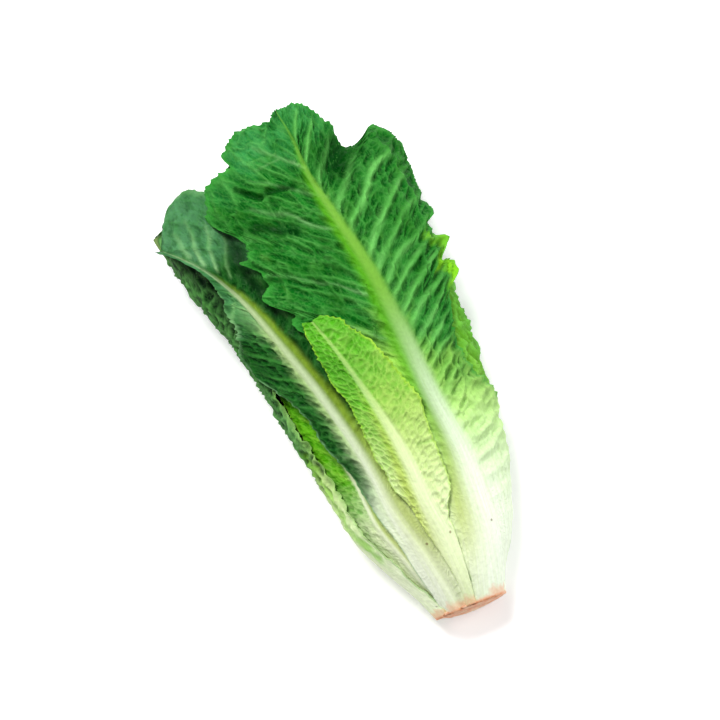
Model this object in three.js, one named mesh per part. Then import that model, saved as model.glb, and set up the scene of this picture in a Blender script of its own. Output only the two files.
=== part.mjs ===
// A romaine lettuce heart lying on its back leaves, cut end towards -Y and leaf tips towards +Y.
// Every leaf is its own closed solid. Each one lies on a nested shell of the club-shaped head,
// so that outer leaves wrap inner ones and no two of them touch.
import * as THREE from 'three';

// ---------- Driving dimensions, in millimetres and degrees ----------

// The closed head: [distance from the cut, left side, right side, height]
const HEAD = [
  [0, -18.5, 18.5, 37],
  [12, -24, 25, 44],
  [28, -34, 35, 51],
  [48, -44, 42.5, 58],
  [72, -48, 48, 63],
  [100, -53, 52, 67],
  [130, -59, 53, 71],
  [160, -66, 53, 74],
  [190, -75, 53, 76],
  [215, -82, 50, 76],
  [240, -79, 42, 71],
  [262, -69, 30, 63],
];

const ROUND_UNTIL = 30; // nearer the cut than this, the inner shells are as round as the stem
const OPEN_FROM = 120; // further out than this, every shell keeps the same distance to the next
const SETTLE = 3.6; // how far the surface that all depths count from is pressed into the table
const PRESS = 1.2; // how softly that flat underside starts

const WAVE_LENGTH = 46; // along a leaf margin that lies free over its neighbour
const WAVE_HEIGHT = 2.4; // how far such a margin lifts at the crest of a wave
const WAVE_FROM = 20; // the margins lie flat nearer the cut than this
const WAVE_FULL_AT = 90;

const BLADE_THICKNESS = 0.9;
const TIP_HALF_WIDTH = 1.5;
const RIB_OUTSIDE = 0.62; // share of a rib's thickness that stands out of the outer face

const VEIN_RISE = 34; // angle between a side vein and a straight cross line, half way up a leaf
const VEIN_RISE_AT_TIP = 30; // added to it close to the tip
const TIP_NEARNESS = 4; // the power with which that addition grows along the leaf
const RISE_FULL_AT = 0.35; // share of the leaf's length at which the side veins reach that angle

const STEM_LENGTH = 46;
// The core of the stem: [distance from the cut, radius]
const STEM = [
  [0, 11.6],
  [8, 8.2],
  [18, 4.9],
  [30, 2],
  [STEM_LENGTH, 0.6],
];
const STEM_SIDES = 20;
const STEM_RINGS = 8;

// ---------- Numbers along the head ----------

const radians = THREE.MathUtils.degToRad;

// A smooth value from one column of a table of stations, at distance y from the cut
function along(table, y, column = 1) {
  const last = table.length - 1;
  const at = THREE.MathUtils.clamp(y, table[0][0], table[last][0]);
  let i = 0;
  while (i < last - 1 && at > table[i + 1][0]) i += 1;
  const grade = (k) => (table[k + 1][column] - table[k][column]) / (table[k + 1][0] - table[k][0]);
  const slope = (k) => {
    if (k === 0) return grade(0);
    if (k === last) return grade(last - 1);
    return (grade(k - 1) + grade(k)) / 2;
  };
  const step = table[i + 1][0] - table[i][0];
  const s = (at - table[i][0]) / step;
  const rise = s * s * (3 - 2 * s);
  const startPull = s * (1 - s) * (1 - s) * step * slope(i);
  const endPull = s * s * (s - 1) * step * slope(i + 1);
  return table[i][column] * (1 - rise) + table[i + 1][column] * rise + startPull + endPull;
}

// The nested shell at a depth below the head's outer surface: its centre and half axes at y
function shellAt(y, depth) {
  const left = along(HEAD, y, 1);
  const right = along(HEAD, y, 2);
  const halfWidth = (right - left) / 2;
  const halfHeight = along(HEAD, y, 3) / 2;
  const open = THREE.MathUtils.smoothstep(y, ROUND_UNTIL, OPEN_FROM);
  const across = THREE.MathUtils.lerp(
    halfWidth * (1 - depth / halfHeight),
    halfWidth - depth,
    open,
  );
  return { x: (left + right) / 2, z: halfHeight - SETTLE, across, up: halfHeight - depth };
}

// A point on that shell, moved outwards by lift; the angle runs from the top towards +X
function shellPoint(angle, y, depth, lift) {
  const shell = shellAt(y, depth);
  const sine = Math.sin(angle);
  const cosine = Math.cos(angle);
  const outX = sine / shell.across;
  const outZ = cosine / shell.up;
  const size = Math.hypot(outX, outZ);
  return new THREE.Vector3(
    shell.x + shell.across * sine + (lift * outX) / size,
    y,
    shell.z + shell.up * cosine + (lift * outZ) / size,
  );
}

// What lies on the table is pressed flat against it
function pressed(point) {
  point.z = (point.z + Math.hypot(point.z, PRESS)) / 2;
  return point;
}

// ---------- Leaves ----------

// Shares of a half blade at which a row of the leaf has a point
const FINE_STATIONS = [0, 0.13, 0.38, 0.68, 1];
const PLAIN_STATIONS = [0, 0.22, 0.6, 1];

// The thickness and half width of a rib: [share of the leaf's length, full thickness, half width]
const OUTER_RIB = [
  [0, 5.6, 8.5],
  [0.12, 5.2, 7.5],
  [0.3, 4.2, 5.5],
  [0.5, 3.4, 4.4],
  [0.75, 2.4, 2.8],
  [1, 1.2, 1.5],
];

function leafRise(share) {
  const opened = THREE.MathUtils.smoothstep(share, 0, RISE_FULL_AT);
  return radians(VEIN_RISE * opened + VEIN_RISE_AT_TIP * share ** TIP_NEARNESS);
}

// One cross row of a leaf: places from the left margin, over the rib, to the right margin
function leafRow(leaf, share) {
  const y = THREE.MathUtils.lerp(leaf.base, leaf.tip, share);
  const rise = leafRise(share);
  const middle = radians(along(leaf.rib, y));
  const ribDepth = along(leaf.depth, y, 2);
  const row = [{ angle: middle, y, depth: ribDepth, fromRib: 0 }];
  for (const side of [-1, 1]) {
    const halfWidth = along(side < 0 ? leaf.left : leaf.right, y);
    const marginDepth = along(leaf.depth, y, side < 0 ? 1 : 3);
    const places = [];
    let place = { angle: middle, y };
    let walked = 0;
    for (const station of leaf.stations.slice(1)) {
      const goal = station * halfWidth;
      const steps = 6;
      const stride = (goal - walked) / steps;
      let depth = ribDepth;
      for (let k = 0; k < steps; k += 1) {
        walked += stride;
        depth = THREE.MathUtils.lerp(ribDepth, marginDepth, (walked / halfWidth) ** 1.4);
        const shell = shellAt(place.y, depth);
        const perRadian = Math.hypot(
          shell.across * Math.cos(place.angle),
          shell.up * Math.sin(place.angle),
        );
        place = {
          angle: place.angle + (side * Math.cos(rise) * stride) / Math.max(perRadian, 1),
          y: place.y + Math.sin(rise) * stride,
        };
      }
      const lifts = (side < 0 ? leaf.waves[0] : leaf.waves[1]) * WAVE_HEIGHT * station ** 3;
      const grown = THREE.MathUtils.smoothstep(place.y, WAVE_FROM, WAVE_FULL_AT);
      const crest = (1 + Math.sin((2 * Math.PI * place.y) / WAVE_LENGTH + side)) / 2;
      places.push({ ...place, depth: depth - lifts * grown * crest, fromRib: goal });
    }
    if (side < 0) row.unshift(...places.reverse());
    else row.push(...places);
  }
  return row;
}

// The outer and inner face of a leaf as two grids, sewn together round the edge
function leafGeometry(leaf) {
  const outer = [];
  const inner = [];
  for (let i = 0; i < leaf.rows; i += 1) {
    const share = i / (leaf.rows - 1);
    const ribThickness = along(OUTER_RIB, share, 1) * leaf.stoutness;
    const ribHalfWidth = along(OUTER_RIB, share, 2) * leaf.stoutness;
    for (const place of leafRow(leaf, share)) {
      const swell = Math.exp(-((place.fromRib / ribHalfWidth) ** 2));
      const extra = Math.max(ribThickness - BLADE_THICKNESS, 0) * swell;
      const out = BLADE_THICKNESS / 2 + extra * RIB_OUTSIDE;
      const back = BLADE_THICKNESS / 2 + extra * (1 - RIB_OUTSIDE);
      outer.push(pressed(shellPoint(place.angle, place.y, place.depth, out)));
      inner.push(pressed(shellPoint(place.angle, place.y, place.depth, -back)));
    }
  }
  return closedSheet(outer, inner, leaf.rows, leaf.stations.length * 2 - 1);
}

// Two facing grids of points make one closed solid
function closedSheet(outer, inner, rows, columns) {
  const corners = [...outer, ...inner];
  const faces = [];
  const quad = (a, b, c, d) => faces.push(a, b, c, a, c, d);
  const front = (i, j) => i * columns + j;
  const back = (i, j) => outer.length + i * columns + j;
  for (let i = 0; i < rows - 1; i += 1) {
    for (let j = 0; j < columns - 1; j += 1) {
      quad(front(i, j), front(i, j + 1), front(i + 1, j + 1), front(i + 1, j));
      quad(back(i, j), back(i + 1, j), back(i + 1, j + 1), back(i, j + 1));
    }
    quad(front(i, 0), front(i + 1, 0), back(i + 1, 0), back(i, 0));
    const j = columns - 1;
    quad(front(i, j), back(i, j), back(i + 1, j), front(i + 1, j));
  }
  for (let j = 0; j < columns - 1; j += 1) {
    quad(front(0, j), back(0, j), back(0, j + 1), front(0, j + 1));
    const i = rows - 1;
    quad(front(i, j), front(i, j + 1), back(i, j + 1), back(i, j));
  }
  const geometry = new THREE.BufferGeometry().setFromPoints(corners);
  geometry.setIndex(faces);
  geometry.computeVertexNormals();
  return geometry;
}

// ---------- The leaves of this head ----------

// Depths of a leaf's left margin, rib and right margin below the head's surface, near the cut
// and further out. A margin that lies under its neighbour is deeper than one that lies over it.
const OVER_BOTH = [[0, 3.1, 3.1, 3.1], [24, 2, 3, 2], [256, 2, 3, 2]];
const OVER_LEFT = [[0, 3.1, 3.1, 3.1], [24, 2.2, 4, 5.6], [60, 2.2, 4.8, 6.8],
  [200, 2.2, 4.8, 6.8], [230, 2.2, 4, 4.5]];
const UNDER_BOTH = [[0, 3.1, 3.1, 3.1], [24, 5.6, 4, 5.6], [60, 7, 5, 7], [256, 7, 5, 7]];

// The same for an inner leaf, whose base keeps clear of the stem it grows from
function ringDepth(base, depth) {
  return [[base, depth - 1.6, depth - 0.9, depth + 1.2], [base + 35, depth - 1, depth, depth + 3],
    [base + 60, depth - 1, depth, depth + 3], [262, depth - 1, depth, depth + 3]];
}

// An inner leaf, of which only the tip shows: its widths follow one romaine outline
function plainLeaf(base, tip, angles, depth, breadth, stoutness) {
  const length = tip - base;
  const outline = [
    [0, 0.2],
    [0.1, 0.26],
    [0.25, 0.5],
    [0.45, 0.8],
    [0.65, 1],
    [0.8, 0.86],
    [0.92, 0.5],
    [1, 0],
  ];
  const widths = outline.map(([share, part]) => [
    base + share * length,
    Math.max(part * breadth, TIP_HALF_WIDTH),
  ]);
  const rib = angles.map((angle, i) => [base + (i / (angles.length - 1)) * length, angle]);
  return {
    base,
    tip,
    rib,
    depth,
    left: widths,
    right: widths,
    rows: 12,
    waves: [0.15, 0],
    stations: PLAIN_STATIONS,
    stoutness,
  };
}

const LEAVES = {
  small_front_leaf: {
    base: 3,
    tip: 149,
    rib: [[3, -1], [26, -1.5], [54, -3], [83, -6], [104, -9.5], [131, -13.5], [149, -17]],
    depth: [[0, -0.9, -1.4, -0.9], [60, -1.6, -2, -1.6], [149, -1.8, -2.2, -1.8]],
    left: [[3, 4], [25, 5], [45, 9.5], [51, 16], [60, 21], [79, 23], [98, 17.5], [107, 19],
      [122, 16], [142, 7.5], [149, 2]],
    right: [[3, 4], [20, 5], [31, 7], [39, 13.5], [46, 18.5], [64, 19.5], [80, 21.5],
      [96, 21.5], [111, 20], [121, 17.5], [136, 11], [149, 3]],
    rows: 17,
    waves: [0.4, 0.4],
    stations: FINE_STATIONS,
    stoutness: 0.42,
    colour: 0xa9d672,
  },
  front_leaf: {
    base: 0,
    tip: 256,
    rib: [[0, 42], [28, 35], [60, 30], [95, 22], [130, 21], [160, 20], [190, 17], [215, 17],
      [235, 19.5], [256, 21]],
    depth: OVER_BOTH,
    left: [[0, 8], [20, 12], [35, 18], [50, 27], [77, 41], [103, 47], [118, 56], [125, 62],
      [145, 66], [165, 69], [180, 65], [190, 58], [199, 49], [207, 46], [224, 33], [236, 17],
      [256, 1.5]],
    right: [[0, 11], [12, 16], [27, 27], [48, 40], [73, 53], [105, 63], [120, 62], [140, 66],
      [156, 70], [172, 75], [186, 67], [192, 48], [209, 37], [226, 29], [236, 21], [256, 1.5]],
    rows: 22,
    waves: [0.8, 1],
    stations: FINE_STATIONS,
    stoutness: 1,
    colour: 0x2f8a3c,
  },
  left_leaf: {
    base: 0,
    tip: 212,
    rib: [[0, -30], [25, -26], [67, -29], [111, -35], [149, -43], [178, -49], [196, -56],
      [206, -65], [212, -74]],
    depth: OVER_LEFT,
    left: [[0, 6.5], [20, 6], [38, 6.5], [60, 9.5], [71, 13], [84, 16.5], [100, 18], [110, 22],
      [119, 36], [134, 36], [141, 23], [152, 15], [162, 11], [172, 6], [183, 3], [212, 2]],
    right: [[0, 8.5], [20, 11], [52, 21], [87, 30], [134, 36], [174, 40], [192, 40], [198, 37],
      [205, 33], [212, 22]],
    rows: 22,
    waves: [0.7, 0],
    stations: FINE_STATIONS,
    stoutness: 0.9,
    colour: 0x3f9157,
  },
  lime_left_leaf: {
    base: 9,
    tip: 138,
    rib: [[9, -56], [40, -53], [100, -56], [138, -63]],
    depth: [[9, 8.8, 9.3, 11.4], [45, 5, 8.6, 12], [75, 4.5, 8.4, 12], [150, 4.5, 8.4, 12]],
    left: [[9, 5], [20, 6], [35, 6], [45, 8], [55, 11], [78, 12], [92, 14], [110, 14],
      [126, 9], [138, 1.5]],
    right: [[9, 6], [40, 10], [80, 14], [115, 11], [138, 1.5]],
    rows: 14,
    waves: [0, 0],
    stations: PLAIN_STATIONS,
    stoutness: 0.45,
    colour: 0x79b72f,
  },
  left_side_leaf: {
    base: 0,
    tip: 226,
    rib: [[0, -92], [30, -105], [80, -118], [150, -122], [200, -116], [226, -108]],
    depth: OVER_LEFT,
    left: [[0, 9.3], [15, 12], [40, 24], [80, 36], [120, 44], [160, 48], [190, 42], [210, 27],
      [226, 1.5]],
    right: [[0, 9.3], [15, 9], [40, 13], [80, 24], [120, 35], [160, 44], [190, 42], [210, 28],
      [226, 1.5]],
    rows: 17,
    waves: [0.5, 0],
    stations: FINE_STATIONS,
    stoutness: 0.95,
    colour: 0x1f6b2c,
  },
  under_leaf: {
    base: 0,
    tip: 236,
    rib: [[0, -165], [40, -176], [120, -180], [236, -178]],
    depth: OVER_LEFT,
    left: [[0, 9.3], [15, 12], [40, 26], [80, 44], [120, 54], [170, 58], [200, 46], [220, 26],
      [236, 1.5]],
    right: [[0, 9.3], [15, 12], [40, 26], [80, 44], [120, 54], [170, 58], [200, 46], [220, 26],
      [236, 1.5]],
    rows: 17,
    waves: [0.5, 0],
    stations: FINE_STATIONS,
    stoutness: 1,
    colour: 0x2a7a34,
  },
  right_side_leaf: {
    base: 0,
    tip: 214,
    rib: [[0, 122], [40, 120], [100, 122], [214, 116]],
    depth: UNDER_BOTH,
    left: [[0, 9.3], [15, 12], [40, 22], [80, 34], [130, 44], [160, 44], [190, 30], [214, 1.5]],
    right: [[0, 9.3], [15, 12], [40, 20], [80, 32], [130, 40], [170, 38], [200, 20],
      [214, 1.5]],
    rows: 17,
    waves: [0, 0],
    stations: FINE_STATIONS,
    stoutness: 0.95,
    colour: 0x4fa838,
  },
};

// Inner leaves, ring by ring: [name, start, tip, rib angles, rib depth, widest half width, colour]
const INNER_LEAVES = [
  ['top_inner_leaf', 9, 236, [6, -4, -12], 10.2, 44, 0x57a53c],
  ['right_inner_leaf', 9, 224, [76, 80, 78], 10.2, 40, 0x5fae3a],
  ['under_right_inner_leaf', 9, 228, [152, 155, 158], 10.2, 44, 0x6cb544],
  ['under_left_inner_leaf', 9, 214, [-138, -140, -136], 10.2, 44, 0x6cb544],
  ['upper_left_heart_leaf', 19, 232, [-58, -56, -52], 16, 36, 0x93c955],
  ['upper_right_heart_leaf', 19, 236, [40, 42, 44], 16, 36, 0x93c955],
  ['lower_right_heart_leaf', 19, 226, [130, 132, 134], 16, 34, 0x93c955],
  ['lower_left_heart_leaf', 19, 220, [-150, -148, -146], 16, 34, 0x93c955],
  ['top_heart_leaf', 31, 226, [-8, -6, -4], 21.8, 26, 0xb9dd7c],
  ['right_heart_leaf', 31, 220, [108, 106, 104], 21.8, 25, 0xb9dd7c],
  ['left_heart_leaf', 31, 214, [-128, -126, -124], 21.8, 25, 0xb9dd7c],
  ['small_right_heart_leaf', 46, 202, [62, 60, 58], 27, 15, 0xcfe79a],
  ['small_left_heart_leaf', 46, 194, [-118, -120, -122], 27, 15, 0xcfe79a],
];
const INNER_STOUTNESS = 0.78; // ribs of the outermost of these, as a share of an outer leaf's
const STOUTNESS_LOSS = 0.025; // and how much slighter they get with each millimetre of depth
const FIRST_INNER_DEPTH = 10.2;

for (const [name, base, tip, angles, depth, breadth, colour] of INNER_LEAVES) {
  const stoutness = INNER_STOUTNESS - STOUTNESS_LOSS * (depth - FIRST_INNER_DEPTH);
  LEAVES[name] = { ...plainLeaf(base, tip, angles, ringDepth(base, depth), breadth, stoutness), colour };
}

// ---------- The stem ----------

function stemGeometry() {
  const corners = [];
  for (let i = 0; i <= STEM_RINGS; i += 1) {
    const y = (STEM_LENGTH * i) / STEM_RINGS;
    const radius = along(STEM, y);
    const centre = shellAt(y, 0);
    for (let k = 0; k < STEM_SIDES; k += 1) {
      const angle = (2 * Math.PI * k) / STEM_SIDES;
      corners.push(
        new THREE.Vector3(
          centre.x + radius * Math.sin(angle),
          y,
          centre.z + radius * Math.cos(angle),
        ),
      );
    }
  }
  const first = corners.length;
  const cut = shellAt(0, 0);
  const end = shellAt(STEM_LENGTH, 0);
  corners.push(new THREE.Vector3(cut.x, 0, cut.z), new THREE.Vector3(end.x, STEM_LENGTH, end.z));
  const faces = [];
  const at = (i, k) => i * STEM_SIDES + (k % STEM_SIDES);
  for (let k = 0; k < STEM_SIDES; k += 1) {
    for (let i = 0; i < STEM_RINGS; i += 1) {
      faces.push(at(i, k), at(i, k + 1), at(i + 1, k + 1));
      faces.push(at(i, k), at(i + 1, k + 1), at(i + 1, k));
    }
    faces.push(first, at(0, k + 1), at(0, k));
    faces.push(first + 1, at(STEM_RINGS, k), at(STEM_RINGS, k + 1));
  }
  const geometry = new THREE.BufferGeometry().setFromPoints(corners);
  geometry.setIndex(faces);
  geometry.computeVertexNormals();
  return geometry;
}

// ---------- The whole head ----------

const group = new THREE.Group();

function addPiece(name, geometry, colour) {
  const material = new THREE.MeshStandardMaterial({ color: colour, roughness: 0.5, metalness: 0 });
  const mesh = new THREE.Mesh(geometry, material);
  mesh.name = name;
  group.add(mesh);
}

addPiece('stem_core', stemGeometry(), 0xeef3e0);
for (const [name, leaf] of Object.entries(LEAVES)) {
  addPiece(name, leafGeometry(leaf), leaf.colour);
}

// The head is centred over the origin and lies on the plane z = 0
const box = new THREE.Box3().setFromObject(group);
const middle = box.getCenter(new THREE.Vector3());
group.position.set(-middle.x, -middle.y, -box.min.z);

export default group;
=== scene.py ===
# %% [markdown]
# # A romaine lettuce heart, leaf by leaf
# A heart of romaine is a bunch of long leaves that wrap each other round a short white stem. The
# outer faces of the leaves look outwards: on those faces the ribs and veins stand proud and the
# green blade between them is dented. In this lesson each leaf is one thin, closed sheet. It is
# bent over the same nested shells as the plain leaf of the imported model, and gets its ribs,
# veins, dents and frilled margin from a few functions.

# %% Load the frame
import math

import bpy
import numpy as np
from mathutils import Matrix, Vector


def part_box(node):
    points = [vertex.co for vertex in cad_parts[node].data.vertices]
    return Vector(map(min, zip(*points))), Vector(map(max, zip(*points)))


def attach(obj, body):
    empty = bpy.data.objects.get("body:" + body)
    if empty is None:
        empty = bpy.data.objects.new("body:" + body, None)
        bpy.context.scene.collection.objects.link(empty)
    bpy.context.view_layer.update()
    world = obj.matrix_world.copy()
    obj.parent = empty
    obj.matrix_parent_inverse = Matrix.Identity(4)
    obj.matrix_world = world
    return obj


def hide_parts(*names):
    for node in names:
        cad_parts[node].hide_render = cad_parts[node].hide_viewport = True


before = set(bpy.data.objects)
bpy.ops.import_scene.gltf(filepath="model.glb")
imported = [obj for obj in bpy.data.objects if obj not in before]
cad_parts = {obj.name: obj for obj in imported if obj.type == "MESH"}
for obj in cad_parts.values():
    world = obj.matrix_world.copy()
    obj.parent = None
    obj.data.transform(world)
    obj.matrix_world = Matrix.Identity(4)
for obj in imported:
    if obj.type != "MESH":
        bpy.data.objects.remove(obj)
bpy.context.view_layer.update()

# %% [markdown]
# ## Where the head is
# All sizes of the leaves are easiest to think of in millimetres, measured from the middle of the
# cut stem: x to the right, y towards the leaf tips, z up from the table. The stem core of the
# plain model says where that point lies in the scene.

# %% The head's own coordinates
MM = 0.001
CORE_LOWEST = 3.3  # height of the underside of the stem core over the table, in mm
core_low, core_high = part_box("stem_core")
HEAD_ORIGIN = np.array([
    (core_low[0] + core_high[0]) / 2,
    core_low[1],
    core_low[2] - CORE_LOWEST * MM,
])


def in_scene(points):
    """Points in the head's millimetres, as metres in the scene."""
    return HEAD_ORIGIN + np.asarray(points, dtype=float) * MM


print("the middle of the cut is at", HEAD_ORIGIN)

# %% [markdown]
# ## The camera
# It looks down on the lying head from the side of the cut stem, from far away with a long lens,
# and is rolled so that the head lies askew, with its stem at the lower right.

# %% Camera
CAMERA_TARGET = (-7, 128, 33.9)
CAMERA_DISTANCE = 1.2
CAMERA_ELEVATION = math.radians(78)
CAMERA_ROLL = math.radians(21.46)
LENS = 123.7

look = Vector((0, math.cos(CAMERA_ELEVATION), -math.sin(CAMERA_ELEVATION)))
plain_up = Vector((0, math.sin(CAMERA_ELEVATION), math.cos(CAMERA_ELEVATION)))
plain_right = Vector((1, 0, 0))
right = math.cos(CAMERA_ROLL) * plain_right - math.sin(CAMERA_ROLL) * plain_up
up = math.sin(CAMERA_ROLL) * plain_right + math.cos(CAMERA_ROLL) * plain_up

camera_data = bpy.data.cameras.new("camera")
camera_data.lens = LENS
camera_data.sensor_width = 36
camera_data.clip_end = 10
camera = bpy.data.objects.new("camera", camera_data)
bpy.context.collection.objects.link(camera)
turn = Matrix((right, up, -look)).transposed().to_4x4()
place = Vector(in_scene(CAMERA_TARGET)) - look * CAMERA_DISTANCE
camera.matrix_world = Matrix.Translation(place) @ turn
bpy.context.scene.camera = camera
print("camera at", [round(value, 3) for value in place])

# %% [markdown]
# ## Floor and light
# A pale floor takes a soft shadow. A strong lamp above and two broader ones at the sides light the
# leaves evenly, so that every colour renders about as it is written, while the ribs and dents
# still show.

# %% Floor, lamps and world
FLOOR_GLOW = 0.32  # only the camera sees it
SKY_STRENGTH = 0.28

bpy.ops.object.select_all(action="DESELECT")
bpy.ops.mesh.primitive_plane_add(size=8, location=(0, 0, 0))
floor = bpy.context.object
floor.name = "floor"
floor_material = bpy.data.materials.new("pale floor")
floor_material.use_nodes = True
floor_shader = floor_material.node_tree.nodes["Principled BSDF"]
floor_shader.inputs["Base Color"].default_value = (0.93, 0.93, 0.93, 1)
floor_shader.inputs["Roughness"].default_value = 0.9
floor_shader.inputs["Specular IOR Level"].default_value = 0.1
floor_nodes, floor_links = floor_material.node_tree.nodes, floor_material.node_tree.links
seen = floor_nodes.new("ShaderNodeLightPath").outputs["Is Camera Ray"]
lift = floor_nodes.new("ShaderNodeMath")
lift.operation = "MULTIPLY"
lift.inputs[1].default_value = FLOOR_GLOW
floor_links.new(seen, lift.inputs[0])
floor_links.new(lift.outputs[0], floor_shader.inputs["Emission Strength"])
floor_shader.inputs["Emission Color"].default_value = (1, 1, 1, 1)
floor.data.materials.append(floor_material)


def add_lamp(name, place, size, power):
    """A square soft lamp that shines on the middle of the head."""
    lamp = bpy.data.lights.new(name, "AREA")
    lamp.shape = "SQUARE"
    lamp.size = size
    lamp.energy = power
    holder = bpy.data.objects.new(name, lamp)
    bpy.context.collection.objects.link(holder)
    holder.location = place
    aim = Vector((0, 0, 0.03)) - Vector(place)
    holder.rotation_euler = aim.to_track_quat("-Z", "Y").to_euler()
    return holder


add_lamp("lamp above", (-0.1, 0.5, 1.25), 0.4, 16)
add_lamp("lamp left", (-1.3, 0.2, 0.7), 0.7, 4)
add_lamp("lamp right", (1.2, -0.1, 0.7), 0.5, 9)

world = bpy.data.worlds.new("soft sky")
bpy.context.scene.world = world
world.use_nodes = True
world_nodes = world.node_tree.nodes
sky = world_nodes["Background"]
sky.inputs["Color"].default_value = (1, 1, 1, 1)
sky.inputs["Strength"].default_value = SKY_STRENGTH
print("floor, 3 lamps and a soft sky")

bpy.context.scene.view_settings.view_transform = "Standard"

# %% [markdown]
# ## The shape that all leaves share
# A leaf lies on a shell: the outline of the whole head, made smaller by the leaf's depth below
# the surface. The numbers are those of the plain model.

# %% The nested shells
HEAD = np.array([
    # distance from the cut, left side, right side, height
    [0, -18.5, 18.5, 37],
    [12, -24, 25, 44],
    [28, -34, 35, 51],
    [48, -44, 42.5, 58],
    [72, -48, 48, 63],
    [100, -53, 52, 67],
    [130, -59, 53, 71],
    [160, -66, 53, 74],
    [190, -75, 53, 76],
    [215, -82, 50, 76],
    [240, -79, 42, 71],
    [262, -69, 30, 63],
])
ROUND_UNTIL = 30
OPEN_FROM = 120
SETTLE = 3.6
PRESS = 1.2


def smooth(value, start=0.0, end=1.0):
    """Rises softly from 0 at start to 1 at end."""
    part = np.clip((value - start) / (end - start), 0, 1)
    return part * part * (3 - 2 * part)


def along(table, y, column=1):
    """A smooth value from one column of a table of stations."""
    table = np.asarray(table, dtype=float)
    spots, values = table[:, 0], table[:, column]
    at = np.clip(y, spots[0], spots[-1])
    i = np.clip(np.searchsorted(spots, at) - 1, 0, len(spots) - 2)
    grades = np.diff(values) / np.diff(spots)
    slopes = np.concatenate([grades[:1], (grades[:-1] + grades[1:]) / 2, grades[-1:]])
    step = spots[i + 1] - spots[i]
    s = (at - spots[i]) / step
    rise = s * s * (3 - 2 * s)
    start_pull = s * (1 - s) ** 2 * step * slopes[i]
    end_pull = s * s * (s - 1) * step * slopes[i + 1]
    return values[i] * (1 - rise) + values[i + 1] * rise + start_pull + end_pull


def shell_at(y, depth):
    """Centre x, centre z and the two half axes of the shell at a depth below the surface."""
    left, right_side = along(HEAD, y, 1), along(HEAD, y, 2)
    half_width = (right_side - left) / 2
    half_height = along(HEAD, y, 3) / 2
    opened = smooth(y, ROUND_UNTIL, OPEN_FROM)
    round_across = half_width * (1 - depth / half_height)
    across = round_across * (1 - opened) + (half_width - depth) * opened
    return (left + right_side) / 2, half_height - SETTLE, across, half_height - depth


def shell_point(angle, y, depth):
    """Points on that shell and the directions straight out of it."""
    x, z, across, up_axis = shell_at(y, depth)
    sine, cosine = np.sin(angle), np.cos(angle)
    out_x, out_z = sine / across, cosine / up_axis
    size = np.hypot(out_x, out_z)
    points = np.stack([x + across * sine, y, z + up_axis * cosine], axis=-1)
    out = np.stack([out_x / size, np.zeros_like(size), out_z / size], axis=-1)
    return points, out


print("the head is", along(HEAD, 130, 2) - along(HEAD, 130, 1), "mm wide half way up")

# %% [markdown]
# ## Irregularity
# Nothing on a leaf is even. Two small functions make all the unevenness: soft hills, for margins
# and folds, and a net of irregular cells, for the fine veins with a dent in each mesh. Both come
# from seeded random numbers, so that the head is the same each time.

# %% Hills and cells
TABLE_SIDE = 61


def hills(x, y, seed):
    """Soft random hills between -1 and 1, about one for each unit of x and y."""
    table = np.random.default_rng(seed).uniform(-1, 1, (TABLE_SIDE, TABLE_SIDE))
    x, y = np.broadcast_arrays(np.asarray(x, dtype=float), np.asarray(y, dtype=float))
    i, j = np.floor(x).astype(int), np.floor(y).astype(int)
    s, t = smooth(x - i), smooth(y - j)

    def corner(a, b):
        return table[(i + a) % TABLE_SIDE, (j + b) % TABLE_SIDE]

    low = corner(0, 0) * (1 - s) + corner(1, 0) * s
    high = corner(0, 1) * (1 - s) + corner(1, 1) * s
    return low * (1 - t) + high * t


def cells(x, y, seed):
    """A net of irregular cells, about one for each unit: 0 on their walls, near 1 inside."""
    spots = np.random.default_rng(seed).uniform(0.08, 0.92, (TABLE_SIDE, TABLE_SIDE, 2))
    i, j = np.floor(x).astype(int), np.floor(y).astype(int)
    nearest = np.full(x.shape, 9.0)
    second = np.full(x.shape, 9.0)
    for a in (-1, 0, 1):
        for b in (-1, 0, 1):
            spot = spots[(i + a) % TABLE_SIDE, (j + b) % TABLE_SIDE]
            away = np.hypot(i + a + spot[..., 0] - x, j + b + spot[..., 1] - y)
            second = np.minimum(second, np.maximum(nearest, away))
            nearest = np.minimum(nearest, away)
    return second - nearest


print("one sample of the hills:", round(float(hills(0.5, 0.5, 1)), 3))

# %% [markdown]
# ## One leaf
# The rows of a leaf start at its rib and run outwards and upwards, as the side veins do. So a side
# vein is simply a row that stands a little higher than its neighbours. A leaf's outer face and
# its inner face are two sheets of the same grid, and the rib is where they lie far apart.

# %% The frame of a leaf: where its grid lies before ribs and veins
VEIN_RISE = 34
TIP_NEARNESS = 4
RISE_FULL_AT = 0.35


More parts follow.
